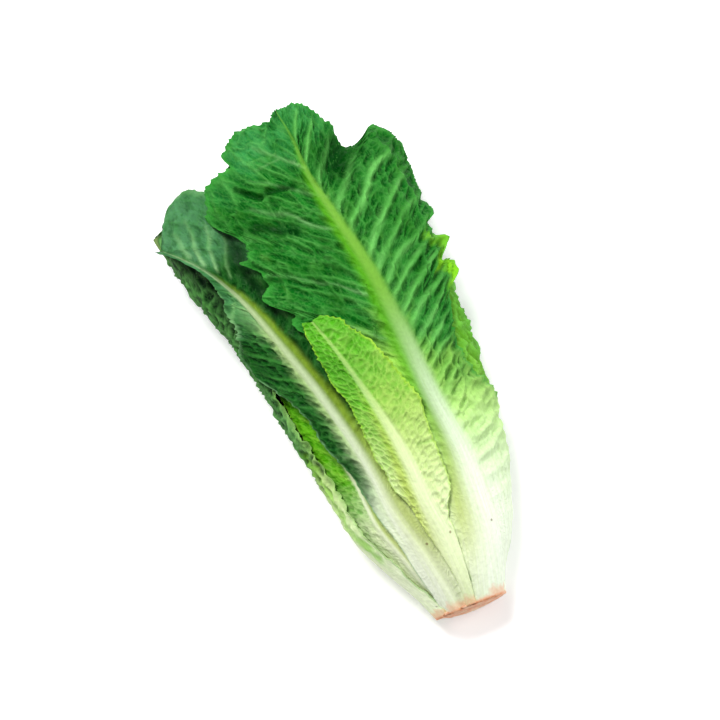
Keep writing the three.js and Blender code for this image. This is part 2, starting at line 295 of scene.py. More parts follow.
def leaf_grid(leaf, rows, columns):
    """Arrays with one value for each point of a leaf: rows from base to tip, columns across."""
    share = np.linspace(0, 1, rows)
    start = leaf["base"] + (leaf["tip"] - leaf["base"]) * share
    opened = smooth(share, 0, RISE_FULL_AT)
    rise = np.radians(VEIN_RISE * opened + leaf["rise_at_tip"] * share ** TIP_NEARNESS)
    middle = np.radians(along(leaf["rib"], start))
    rib_depth = along(leaf["depth"], start, 2)
    halves = []
    for side, column in ((-1, 1), (1, 3)):
        half = along(leaf["left" if side < 0 else "right"], start)
        half = np.maximum(half + leaf_teeth(leaf, start, side) * smooth(half, 2, 12), 0.6)
        margin_depth = along(leaf["depth"], start, column)
        angle, y = middle.copy(), start.copy()
        strip = [(angle, y, rib_depth, 0 * start, 0 * start)]
        for station in np.arange(1, columns + 1) / columns:
            stride = half / columns
            depth = rib_depth + (margin_depth - rib_depth) * station ** 1.4
            _, _, across, up_axis = shell_at(y, depth)
            per_radian = np.hypot(across * np.cos(angle), up_axis * np.sin(angle))
            angle = angle + side * np.cos(rise) * stride / np.maximum(per_radian, 1)
            y = y + np.sin(rise) * stride
            strip.append((angle, y, depth, side * station + 0 * start, side * station * half))
        halves.append(strip)
    columns_in_order = halves[0][:0:-1] + halves[1]
    names = ("angle", "y", "depth", "station", "from_rib")
    grid = {
        name: np.stack([column[k] for column in columns_in_order], axis=1)
        for k, name in enumerate(names)
    }
    grid["start"] = np.repeat(start[:, None], 2 * columns + 1, axis=1)
    grid["share"] = np.repeat(share[:, None], 2 * columns + 1, axis=1)
    return grid


def leaf_teeth(leaf, start, side):
    """How far the small teeth and waves of a margin reach out, in mm."""
    seed = leaf["seed"] + (3 if side < 0 else 5)
    pace = start / 3.3 + 1.1 * hills(start / 5, 0.5, seed)
    points = 1 - 2 * np.abs(np.sin(np.pi * pace)) ** 0.7
    big = np.clip(0.5 + 0.8 * hills(start / 5, 3.5, seed), 0.1, 1)
    broad = hills(start / 6, 7.5, seed) * 1.2 + hills(start / 2.4, 9.5, seed) * 0.6
    return leaf["teeth"] * (points * big + broad)


print("leaf grids run from the cut to the tip")

# %% [markdown]
# Then the heights. Ribs and side veins are ridges; between them lies a net of finer ridges with
# dents in its meshes, and broad facets where the blade crumples. The margins ruffle, in long waves
# and, right at the edge, in short ones. Single creases, hollows, raised traces and lime-coloured
# stretches of margin are added where this head has them. Creases that sink in also carry painted
# shade, and where they follow the margin of a leaf lying over them, painted shadow.

# %% The relief of a leaf
BLADE_THICKNESS = 0.75
RIB_OUTSIDE = 0.62
WANDER = 1.8  # how far drawn lines stray from straight, in mm
OUTER_RIB = np.array([
    # share of the leaf's length, full thickness, half width
    [0, 5.6, 8.5],
    [0.12, 5.2, 7.5],
    [0.3, 4.2, 5.5],
    [0.5, 3.4, 4.4],
    [0.75, 2.4, 2.8],
    [1, 0.9, 0.9],
])


def side_veins(leaf, grid, side):
    """The ridges of one side's veins, from 1 on the strongest to 0 between them."""
    k = 0 if side < 0 else 1
    gap = leaf["vein_gap"][k]
    width = leaf["vein_width"][k]
    chance = np.random.default_rng(leaf["seed"] + 11 + k)
    station = np.abs(grid["station"])
    walked = np.abs(grid["from_rib"])
    starts = leaf["vein_starts"][k]
    if not starts:
        starts = np.arange(leaf["base"] + 24, leaf["tip"] + 4, gap)
        starts = starts + chance.uniform(-0.25, 0.25, len(starts)) * gap
    ridge = np.zeros_like(station)
    for n, start in enumerate(starts):
        strength = chance.uniform(0.65, 1)
        sway = 2.6 * hills(walked / 19 + 7 * n, n * 1.7, leaf["seed"] + 21)
        sway = sway * smooth(walked, 0, 12)
        path = start - 5 * np.exp(-walked / 5) + sway
        broad = width * (1.25 - 0.85 * station)
        away = (grid["start"] - path) / broad
        fade = smooth(station, 1.02, leaf["vein_fade"][k])
        ridge = np.maximum(ridge, strength * fade * np.exp(-away ** 2))
    return ridge


def near_line(points, line, wide, taper=0.0):
    """1 on a line drawn on the upper side of the head, fading out over its width."""
    x0, y0, x1, y1 = line
    run = np.array([x1 - x0, y1 - y0], dtype=float)
    size = max(run @ run, 1e-6)
    part = ((points[..., 0] - x0) * run[0] + (points[..., 1] - y0) * run[1]) / size
    part = np.clip(part, 0, 1)
    away = np.hypot(points[..., 0] - x0 - part * run[0], points[..., 1] - y0 - part * run[1])
    return np.exp(-(away / wide) ** 2) * (1 - taper * part) * (points[..., 2] > 20)


def leaf_relief(leaf, grid):
    """Heights in mm and masks from 0 to 1 for each point of a leaf."""
    station, walked, y = np.abs(grid["station"]), np.abs(grid["from_rib"]), grid["y"]
    seed = leaf["seed"]
    is_left = grid["station"] < 0

    def sided(pair):
        return np.where(is_left, pair[0], pair[1])

    def sided_span(name):
        return (sided([pair[n] for pair in leaf[name]]) for n in (0, 1))

    weak = smooth(grid["start"], *leaf["rib_fade"])
    broad = np.interp(grid["share"], (0, 1), leaf["rib_width"])
    rib_half = along(OUTER_RIB, grid["share"], 2) * broad * (1 - 0.4 * weak)
    rib_thick = along(OUTER_RIB, grid["share"], 1) * leaf["stoutness"] * (1 - 0.4 * weak)
    swell = np.exp(-(walked / rib_half) ** 2)
    extra = np.maximum(rib_thick - BLADE_THICKNESS, 0) * swell
    veins = np.where(is_left, side_veins(leaf, grid, -1), side_veins(leaf, grid, 1))
    open_blade = smooth(walked, 0.8 * rib_half, 1.7 * rib_half)
    veins = veins * smooth(y, *leaf["veins_from"]) * smooth(walked, 0.3 * rib_half, rib_half)

    long_cell, wide_cell = leaf["cell"]
    warp = hills(walked / 9, grid["start"] / 9, seed + 31) * 0.5
    net = cells(grid["from_rib"] / sided(long_cell) + warp,
                grid["start"] / sided(wide_cell) - warp, seed + 32)
    walls = np.exp(-(net / 0.2) ** 2)
    dents = smooth(net, 0.05, 0.6)
    fine_net = cells(grid["from_rib"] / 2.6 + warp, grid["start"] / 2.3 + 2 * warp, seed + 33)
    fine_walls = np.exp(-(fine_net / 0.22) ** 2)
    bloom = smooth(y + 7 * hills(walked / 9, grid["start"] / 12, seed + 39),
                   *sided_span("bloom_from"))
    rough = open_blade * smooth(y, *leaf["rough_from"]) * (1 - 0.35 * bloom)
    uneven = 0.65 + 0.35 * hills(grid["from_rib"] / 17, grid["start"] / 17, seed + 34)
    height = veins * sided(leaf["vein_height"]) * open_blade
    height += sided(leaf["blister"]) * rough * uneven * (0.7 * walls - dents)
    height += 0.16 * rough * (fine_walls - 0.3)

    facets = cells(grid["from_rib"] / 17 + warp, y / 14 - 1.5 * warp, seed + 42)
    ridges = np.exp(-(facets / 0.1) ** 2) * open_blade * smooth(y, 40, 110)
    height += sided(leaf["crumple"]) * (ridges - 0.8 * open_blade * smooth(facets, 0, 0.8))

    margin = smooth(station, 0.45, 1)
    edge = smooth(station, 0.8, 1)
    pace = grid["start"] / 31 + 0.35 * hills(grid["start"] / 40, 2.5, seed + 35)
    wave = 0.5 + 0.5 * np.sin(2 * np.pi * pace + np.where(is_left, 0.0, 2.0) + seed)
    grown = smooth(y, 25, 90)
    ruffled = smooth(y, *sided_span("ruffle_from"))
    height += (sided(leaf["ruffle"]) * wave + sided(leaf["lift"])) * margin * ruffled
    frill = hills(grid["start"] / 4.2, np.where(is_left, 3.5, 8.5), seed + 36)
    height += sided(leaf["frill"]) * edge ** 2 * smooth(y, 12, 60) * frill
    swing = hills(grid["from_rib"] / 23, y / 23, seed + 37)
    height += leaf["swing"] * open_blade * grown * swing

    points, _ = shell_point(grid["angle"], y, grid["depth"])
    points[..., 0] += WANDER * hills(walked / 12, y / 12, seed + 40)
    points[..., 1] += WANDER * hills(walked / 12, y / 12, seed + 41)
    veins = veins * sided(leaf["vein_shown"])
    veins = np.maximum(veins, 0.28 * ridges * np.clip(sided(leaf["crumple"]), 0, 1))
    traces = np.zeros_like(height)
    for *line, wide, strength in leaf["traces"]:
        traces = np.maximum(traces, strength * near_line(points, line, wide, taper=0.7))
    height += 0.6 * traces
    # Sunken creases also fill a mask of painted shade; along the margin of a leaf lying over this one it
    # is a painted shadow.
    shade = np.zeros_like(height)
    for *line, wide, deep in leaf["creases_and_shade"]:
        hollow = near_line(points, line, wide)
        height -= deep * hollow
        if deep > 0:
            shade = np.maximum(shade, hollow * min(deep, 1))
    lime = np.zeros_like(height)
    from_margin = walked / np.maximum(station, 0.01) * (1 - station)
    torn = hills(walked / 3.5, y / 3.5, seed + 43)
    for side, low, high, inside, wide, strength in leaf["limes"]:
        here = smooth(y + 4 * torn, low - 5, low + 5) * smooth(y + 4 * torn, high + 5, high - 5)
        here = here * np.exp(-((from_margin - inside) / wide + 0.3 * torn) ** 4)
        lime = np.maximum(lime, here * strength * (grid["station"] * side > 0))

    # Painted shade: a band along the rib on its side towards the neighbouring leaf, weaker near the cut;
    # the pattern paints it olive.
    beside = grid["from_rib"] * leaf["shaded_flank_side"] - leaf["shaded_flank_at"] * rib_half
    spread = np.interp(grid["start"], (30, 120), leaf["shaded_flank_wide"]) * rib_half
    shaded_flank = np.exp(-(beside / spread) ** 2) * (0.3 + 0.7 * smooth(y, 6, 45))
    out = BLADE_THICKNESS / 2 + extra * RIB_OUTSIDE
    back = BLADE_THICKNESS / 2 + extra * (1 - RIB_OUTSIDE)
    thin = 1 - 0.45 * smooth(station, 0.85, 1)
    masks = {
        "rib": np.exp(-(walked / (rib_half * leaf["rib_spread"])) ** 4) * (1 - 0.6 * weak),
        "shaded_flank": shaded_flank * (1 - 0.9 * weak),
        "bloom": bloom,
        "vein": veins * np.clip(0.35 + 0.65 * open_blade, 0, 1),
        "net": walls * rough * sided(leaf["net_shown"]),
        "dent": dents * rough * (0.4 + 0.6 * sided(leaf["net_shown"])) * (1 - 0.4 * bloom),
        "wash": np.exp(-(walked / (2.4 * rib_half)) ** 2) * sided(leaf["wash"]) * (1 - weak),
        "green": smooth(y + 9 * hills(walked / 11, grid["start"] / 11, seed + 38),
                        *sided_span("green_from")),
        "edge": smooth(station, 0.9, 1) * smooth(walked, 2, 8),
        "shade": shade,
        "trace": traces,
        "lime": lime,
        "along": np.clip(y / 260, 0, 1),
    }
    return (out * thin + height), (back * thin - height), masks


print("a rib is", OUTER_RIB[0][1], "mm thick at the cut")

# %% [markdown]
# ## From numbers to a leaf
# A grid of the right number of squares is added, gets its second sheet and its rim from a
# Solidify modifier, and then every point of both sheets is moved to its place on the leaf. Moving
# the points in code gives the leaf a shape that no single modifier could, and the masks go along
# as attributes, so that the colours know where rib, veins and dents are.

# %% Make a leaf
CUT_SLANT = 0.075


def pressed(points):
    """What lies on the table is pressed flat against it, and the cut slants a little."""
    flat = points.copy()
    flat[..., 2] = (points[..., 2] + np.hypot(points[..., 2], PRESS)) / 2
    flat[..., 1] -= CUT_SLANT * flat[..., 2] * (1 - smooth(flat[..., 1], 0, 40))
    return flat


def make_leaf(name, leaf, step):
    """A closed leaf with the named CAD leaf's place, about step mm between its points."""
    rows = int((leaf["tip"] - leaf["base"]) / step) + 1
    widest = max(half for side in ("left", "right") for _, half in leaf[side])
    columns = max(int(widest / step), 8)
    across = 2 * columns + 1
    grid = leaf_grid(leaf, rows, columns)
    outer_height, inner_height, masks = leaf_relief(leaf, grid)
    points, out = shell_point(grid["angle"], grid["y"], grid["depth"])
    outer = pressed(points + out * outer_height[..., None])
    inner = pressed(points - out * inner_height[..., None])

    bpy.ops.object.select_all(action="DESELECT")
    bpy.ops.mesh.primitive_grid_add(x_subdivisions=across - 1, y_subdivisions=rows - 1, size=1)
    piece = bpy.context.object
    piece.name = name + "_skin"
    bpy.ops.object.modifier_add(type="SOLIDIFY")
    piece.modifiers[-1].thickness = 0.01
    bpy.ops.object.modifier_apply(modifier=piece.modifiers[-1].name)
    mesh = piece.data
    both = np.concatenate([outer.reshape(-1, 3), inner.reshape(-1, 3)])
    mesh.vertices.foreach_set("co", in_scene(both).ravel())
    for mask, values in masks.items():
        attribute = mesh.attributes.new(mask, "FLOAT", "POINT")
        attribute.data.foreach_set("value", np.tile(values.ravel(), 2))
    lay_flat(mesh, grid)
    mesh.update()
    bpy.ops.object.shade_smooth()
    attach(piece, "root")
    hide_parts(name)
    print(piece.name, "with", rows, "rows of", across, "points")
    return piece


def lay_flat(mesh, grid):
    """The leaf's UV map: how far across from the rib and how far up the rib, in metres."""
    flat = np.stack([grid["from_rib"], grid["start"]], axis=-1).reshape(-1, 2) * MM
    corners = np.empty(len(mesh.loops), dtype=int)
    mesh.loops.foreach_get("vertex_index", corners)
    mesh.uv_layers.active.data.foreach_set("uv", np.tile(flat, (2, 1))[corners].ravel())


# %% [markdown]
# ## The finish of a leaf
# All leaves share one way of colouring: white at the base, then pale, then green; dents darker, partly
# for the blade's deeper green and partly as painted shade in the hollows; veins lighter; the rib in
# its own colours, with an olive band of painted shade on its flank towards the neighbouring leaf that
# fades towards the cut. Sunken creases get painted shade, and small light flecks are painted
# highlights. Over that lie a waxy bloom near some tips, specks of soil low down and a rusty stain at
# the cut. Only the colours differ from leaf to leaf. So the pattern is one node group, and each
# material holds its own set of colours.

# %% Small helpers for nodes
def colour(red, green, blue):
    """A colour given as on a paint chart, 0 to 255, for a shader."""
    channels = []
    for value in (red, green, blue):
        share = value / 255
        channels.append(share / 12.92 if share <= 0.04045 else ((share + 0.055) / 1.055) ** 2.4)
    return (*channels, 1)


def mixed(tree, amount, first, second, blend="MIX"):
    """A colour between two others; each of the three is a socket or a plain value."""
    node = tree.nodes.new("ShaderNodeMix")
    node.data_type = "RGBA"
    node.blend_type = blend
    for index, value in ((0, amount), (6, first), (7, second)):
        feed(tree, value, node.inputs[index])
    return node.outputs[2]


def feed(tree, value, socket):
    """Links a socket to another, or sets it to a plain value."""
    if isinstance(value, bpy.types.NodeSocket):
        tree.links.new(value, socket)
    else:
        socket.default_value = value


def reckoned(tree, operation, first, second=0.0, third=0.0):
    """One step of arithmetic on masks."""
    node = tree.nodes.new("ShaderNodeMath")
    node.operation = operation
    for index, value in enumerate((first, second, third)):
        feed(tree, value, node.inputs[index])
    return node.outputs[0]


def times(tree, first, second):
    """Two masks or values multiplied."""
    return reckoned(tree, "MULTIPLY", first, second)


def stepped(tree, value, low, high):
    """A mask that rises softly from 0 at low to 1 at high."""
    node = tree.nodes.new("ShaderNodeMapRange")
    node.interpolation_type = "SMOOTHSTEP"
    feed(tree, value, node.inputs[0])
    node.inputs[1].default_value = low
    node.inputs[2].default_value = high
    return node.outputs[0]


def mask_of(tree, name):
    """The mask that the leaf carries under this name."""
    node = tree.nodes.new("ShaderNodeAttribute")
    node.attribute_name = name
    return node.outputs["Fac"]


def noise_of(tree, place, scale, detail=3.0, roughness=0.55):
    """Cloudy noise from 0 to 1 with hills about 1 / scale metres wide."""
    node = tree.nodes.new("ShaderNodeTexNoise")
    node.inputs["Scale"].default_value = scale
    node.inputs["Detail"].default_value = detail
    node.inputs["Roughness"].default_value = roughness
    tree.links.new(place, node.inputs["Vector"])
    return node.outputs["Fac"]


def net_of(tree, place, scale):
    """The distance from the walls of a net of cells about 1 / scale metres wide."""
    node = tree.nodes.new("ShaderNodeTexVoronoi")
    node.feature = "DISTANCE_TO_EDGE"
    node.inputs["Scale"].default_value = scale
    tree.links.new(place, node.inputs["Vector"])
    return node.outputs["Distance"]


print("node helpers ready")

# %% [markdown]
# The pattern is built from the bottom up: the blade first, then its dents, veins and margin, then
# the rib over it, and the soil and the stain of the cut last.

# %% The pattern that all leaves share
RELIEF_STRENGTH = 0.5
RELIEF_DEPTH = 0.0006  # metres
LEAF_COLOURS = ("White", "Pale", "Green", "Deep", "Vein", "Rib", "Shaded flank", "Margin", "Bloom")


def leaf_pattern():
    """The node group from a leaf's colours and masks to its colour, roughness and fine relief."""
    tree = bpy.data.node_groups.new("leaf pattern", "ShaderNodeTree")
    for name in LEAF_COLOURS:
        tree.interface.new_socket(name=name, in_out="INPUT", socket_type="NodeSocketColor")
    tree.interface.new_socket(name="Color", in_out="OUTPUT", socket_type="NodeSocketColor")
    tree.interface.new_socket(name="Roughness", in_out="OUTPUT", socket_type="NodeSocketFloat")
    tree.interface.new_socket(name="Height", in_out="OUTPUT", socket_type="NodeSocketFloat")
    given = tree.nodes.new("NodeGroupInput").outputs
    result = tree.nodes.new("NodeGroupOutput").inputs
    flat = tree.nodes.new("ShaderNodeUVMap").outputs["UV"]

    clouds = noise_of(tree, flat, 95, 4)
    grain = noise_of(tree, flat, 520, 3, 0.6)
    warp = tree.nodes.new("ShaderNodeVectorMath")
    warp.operation = "MULTIPLY_ADD"
    noise = tree.nodes.new("ShaderNodeTexNoise")
    noise.inputs["Scale"].default_value = 160
    tree.links.new(flat, noise.inputs["Vector"])
    tree.links.new(noise.outputs["Color"], warp.inputs[0])
    warp.inputs[1].default_value = (0.004, 0.004, 0)
    tree.links.new(flat, warp.inputs[2])
    meshes = net_of(tree, warp.outputs[0], 420)
    threads = stepped(tree, meshes, 0.16, 0.02)

    upwards = mask_of(tree, "along")
    green = times(tree, mask_of(tree, "green"),
                  reckoned(tree, "SUBTRACT", 1.0, mask_of(tree, "wash")))
    vein = mask_of(tree, "vein")
    net = mask_of(tree, "net")
    dent = mask_of(tree, "dent")
    pale = mixed(tree, stepped(tree, upwards, 0.06, 0.42), given["White"], given["Pale"])
    patchy = reckoned(tree, "MULTIPLY_ADD", clouds, 0.9, -0.45)
    patchy = reckoned(tree, "MULTIPLY_ADD", dent, 0.1, patchy)
    greenness = reckoned(tree, "ADD", green,
                         times(tree, patchy, stepped(tree, green, 0.0, 0.35)))
    blade = mixed(tree, stepped(tree, greenness, 0.0, 1.0), pale, given["Green"])
    mottle = stepped(tree, noise_of(tree, flat, 230, 3), 0.48, 0.62)
    clear = reckoned(tree, "MULTIPLY_ADD", mottle, -0.45, 0.92)
    blade = mixed(tree, times(tree, mask_of(tree, "bloom"), clear), blade, given["Bloom"])
    # Dents darkened towards the deep colour: partly the blade's own deeper green, partly painted shade
    # in the hollows.
    shaded_dents = times(tree, times(tree, dent, green), stepped(tree, clouds, 0.25, 0.6))
    blade = mixed(tree, shaded_dents, blade, given["Deep"])
    light = mixed(tree, stepped(tree, green, 0.1, 0.9), pale, given["Vein"])
    blade = mixed(tree, times(tree, threads, 0.12), blade, light)
    blade = mixed(tree, times(tree, net, 0.22), blade, light)
    blade = mixed(tree, times(tree, vein, 0.9), blade, light)
    blade = mixed(tree, times(tree, mask_of(tree, "edge"), 0.6), blade, given["Margin"])
    blade = mixed(tree, times(tree, mask_of(tree, "trace"), 0.7), blade, colour(150, 208, 128))
    # Painted shade in the sunken creases, in the deep colour.
    blade = mixed(tree, times(tree, mask_of(tree, "shade"), 0.92), blade, given["Deep"])
    broad = stepped(tree, noise_of(tree, flat, 48, 3), 0.3, 0.7)
    blade = mixed(tree, times(tree, green, 0.6), blade,
                  mixed(tree, 1.0, blade, mixed(tree, broad, (0.42, 0.64, 0.5, 1),
                                                (1.5, 1.24, 1.7, 1)), "MULTIPLY"))
    # Painted highlights: small light flecks standing for glints on the fine bumps.
    painted_glints = stepped(tree, noise_of(tree, flat, 900, 2, 0.5), 0.6, 0.72)
    painted_glints = times(tree, painted_glints, stepped(tree, clouds, 0.35, 0.65))
    blade = mixed(tree, times(tree, painted_glints, 0.3), blade, light)
    blade = mixed(tree, mask_of(tree, "lime"), blade, colour(134, 208, 34))
    stretched = tree.nodes.new("ShaderNodeVectorMath")
    stretched.operation = "MULTIPLY"
    stretched.inputs[1].default_value = (1, 0.04, 1)
    tree.links.new(flat, stretched.inputs[0])
    fibres = noise_of(tree, stretched.outputs[0], 900, 2)
    rib = mixed(tree, stepped(tree, upwards, 0.12, 0.6), given["White"], given["Rib"])
    skin = mixed(tree, mask_of(tree, "rib"), blade, rib)
    skin = mixed(tree, stepped(tree, green, 0.6, 0.0), skin,
                 mixed(tree, 1.0, skin, mixed(tree, fibres, (0.78, 0.84, 0.62, 1),
                                              (1.16, 1.12, 1.24, 1)), "MULTIPLY"))
    # Painted shade on the rib's side towards the neighbouring leaf, in olive, lighter near the base and
    # gone at the tip.
    shaded_flank = times(tree, mask_of(tree, "shaded_flank"), stepped(tree, upwards, 0.98, 0.8))
    olive = mixed(tree, stepped(tree, upwards, 0.08, 0.45), colour(188, 204, 100), given["Shaded flank"])
    skin = mixed(tree, times(tree, shaded_flank, 0.8), skin, olive)
    speckle = mixed(tree, 1.0, skin, mixed(tree, grain, (0.8, 0.8, 0.8, 1), (1.2, 1.2, 1.2, 1)),
                    "MULTIPLY")
    dots = tree.nodes.new("ShaderNodeTexVoronoi")
    dots.inputs["Scale"].default_value = 190
    tree.links.new(flat, dots.inputs["Vector"])
    many = times(tree, stepped(tree, upwards, 0.06, 0.01), 0.45)
    rare = stepped(tree, reckoned(tree, "ADD", dots.outputs["Color"], many), 0.72, 0.76)
    soil = times(tree, stepped(tree, dots.outputs["Distance"], 0.16, 0.06), rare)
    soil = times(tree, soil, stepped(tree, upwards, 0.3, 0.02))
    scab = reckoned(tree, "MULTIPLY_ADD", grain, 0.012, -0.006)
    stain = reckoned(tree, "MULTIPLY_ADD", clouds, 0.09, -0.045)
    cut = stepped(tree, reckoned(tree, "ADD", upwards, reckoned(tree, "ADD", scab, stain)),
                  0.02, 0.0)
    cut = reckoned(tree, "MAXIMUM", times(tree, cut, 0.6),
                   stepped(tree, reckoned(tree, "ADD", upwards, scab), 0.009, 0.002))
    rusty = mixed(tree, stepped(tree, grain, 0.35, 0.6), colour(246, 196, 158),
                  colour(234, 152, 108))
    skin = mixed(tree, cut, speckle, rusty)
    skin = mixed(tree, soil, skin, colour(112, 84, 52))
    tree.links.new(skin, result["Color"])

    rough = reckoned(tree, "MULTIPLY_ADD", clouds, 0.22, 0.34)
    tree.links.new(rough, result["Roughness"])
    swollen = times(tree, stepped(tree, meshes, 0.0, 0.25), -0.5)
    smooth_rib = reckoned(tree, "SUBTRACT", 1.0, mask_of(tree, "rib"))
    swollen = times(tree, swollen, smooth_rib)
    height = reckoned(tree, "MULTIPLY_ADD", grain, 0.5, swollen)
    tree.links.new(height, result["Height"])
    return tree


LEAF_PATTERN = leaf_pattern()


def leaf_material(name, colours):
    """A leaf's material: the shared pattern in this leaf's colours."""
    material = bpy.data.materials.new(name)
    material.use_nodes = True
    tree = material.node_tree
    shader = tree.nodes["Principled BSDF"]
    pattern = tree.nodes.new("ShaderNodeGroup")
    pattern.node_tree = LEAF_PATTERN
    for socket_name, chart in zip(LEAF_COLOURS, colours):
        pattern.inputs[socket_name].default_value = colour(*chart)
    relief = tree.nodes.new("ShaderNodeBump")
    relief.inputs["Strength"].default_value = RELIEF_STRENGTH
    relief.inputs["Distance"].default_value = RELIEF_DEPTH
    shader.inputs["Specular IOR Level"].default_value = 0.05
    tree.links.new(pattern.outputs["Color"], shader.inputs["Base Color"])
    tree.links.new(pattern.outputs["Roughness"], shader.inputs["Roughness"])
    tree.links.new(pattern.outputs["Height"], relief.inputs["Height"])
    tree.links.new(relief.outputs["Normal"], shader.inputs["Normal"])
    return material


# White, pale, green, deep (also used for painted shade), vein, rib, shaded flank (painted shade beside
# the rib), margin and bloom colours of each finish
FINISHES = {
    "green_leaf": ((243, 252, 235), (164, 216, 94), (4, 102, 18), (0, 58, 8),
                   (104, 188, 84), (112, 168, 58), (84, 162, 22), (62, 156, 54),
                   (48, 136, 62)),
    "waxy_leaf": ((240, 247, 226), (184, 216, 140), (0, 70, 10), (0, 30, 4),
                  (72, 150, 60), (178, 200, 148), (130, 164, 44), (120, 176, 110),
                  (78, 140, 86)),
    "dark_leaf": ((238, 249, 214), (186, 226, 112), (2, 58, 14), (0, 28, 6),
                  (112, 182, 92), (180, 206, 126), (112, 166, 46), (146, 200, 100),
                  (40, 100, 50)),
    "lime_leaf": ((238, 246, 214), (184, 220, 96), (80, 168, 4), (52, 132, 0),
                  (140, 202, 58), (196, 224, 118), (124, 190, 34), (160, 212, 70),
                  (120, 186, 40)),
    "pale_leaf": ((230, 242, 198), (174, 208, 96), (76, 166, 26), (74, 150, 18),
                  (150, 204, 92), (196, 220, 134), (138, 176, 28), (164, 212, 56),
                  (110, 186, 60)),
    "heart_leaf": ((244, 250, 214), (214, 242, 128), (148, 222, 76), (112, 198, 50),
                   (206, 238, 134), (232, 246, 176), (190, 224, 104), (190, 234, 98),
                   (166, 218, 92)),
}
MATERIALS = {name: leaf_material(name, colours) for name, colours in FINISHES.items()}
print(len(MATERIALS), "leaf finishes")

# %% [markdown]
# ## The leaves of this head
# Each leaf starts from the measures of its plain solid, and some have their margins and depths
# drawn closer. Beside them stands how it looks: how its veins lie, how deep its dents are, how its
# margins ruffle, and where the green starts. Lengths are in mm and angles in degrees. Pairs hold
# the left and the right half, and tables start with the distance from the cut.

# %% Measures that most leaves share
OVER_LEFT = [[0, 3.1, 3.1, 3.1], [24, 2.2, 4, 5.6], [60, 2.2, 4.8, 6.8],
             [200, 2.2, 4.8, 6.8], [230, 2.2, 4, 4.5]]
PLAIN_OUTLINE = [[0, 0.2], [0.1, 0.26], [0.25, 0.5], [0.45, 0.8], [0.65, 1], [0.8, 0.86],
                 [0.92, 0.5], [1, 0]]
PLAIN_LOOKS = {
    "slot": "green_leaf",
    "stoutness": 0.95,
    "rib_width": (0.95, 0.95),
    "rib_fade": (300, 301),
    "rise_at_tip": 30,
    "teeth": 0.5,
    "vein_shown": (1, 1),
    "net_shown": (1, 1),
    "wash": (0.3, 0.3),
    "vein_gap": (10, 10),
    "vein_width": (1.1, 1.1),
    "vein_starts": ((), ()),
    "vein_height": (0.9, 0.9),
    "vein_fade": (0.3, 0.3),
    "veins_from": (20, 80),
    "rough_from": (30, 100),
    "blister": (0.8, 0.8),
    "cell": ((8.5, 8.5), (5, 5)),
    "rib_spread": 1.0,
    "bloom_from": ((300, 301), (300, 301)),
    "ruffle": (1.2, 1.2),
    "ruffle_from": ((25, 90), (25, 90)),
    "lift": (0, 0),
    "frill": (0.7, 0.7),
    "swing": 0.6,
    "crumple": (0.3, 0.3),
    "creases_and_shade": (),
    "limes": (),
    "traces": (),
    "green_from": ((50, 140), (50, 140)),
    "shaded_flank_side": 1,
    "shaded_flank_at": 1.0,
    "shaded_flank_wide": (0.6, 0.6),
}

# %% [markdown]
# The outer leaves are all different, so each is written out.

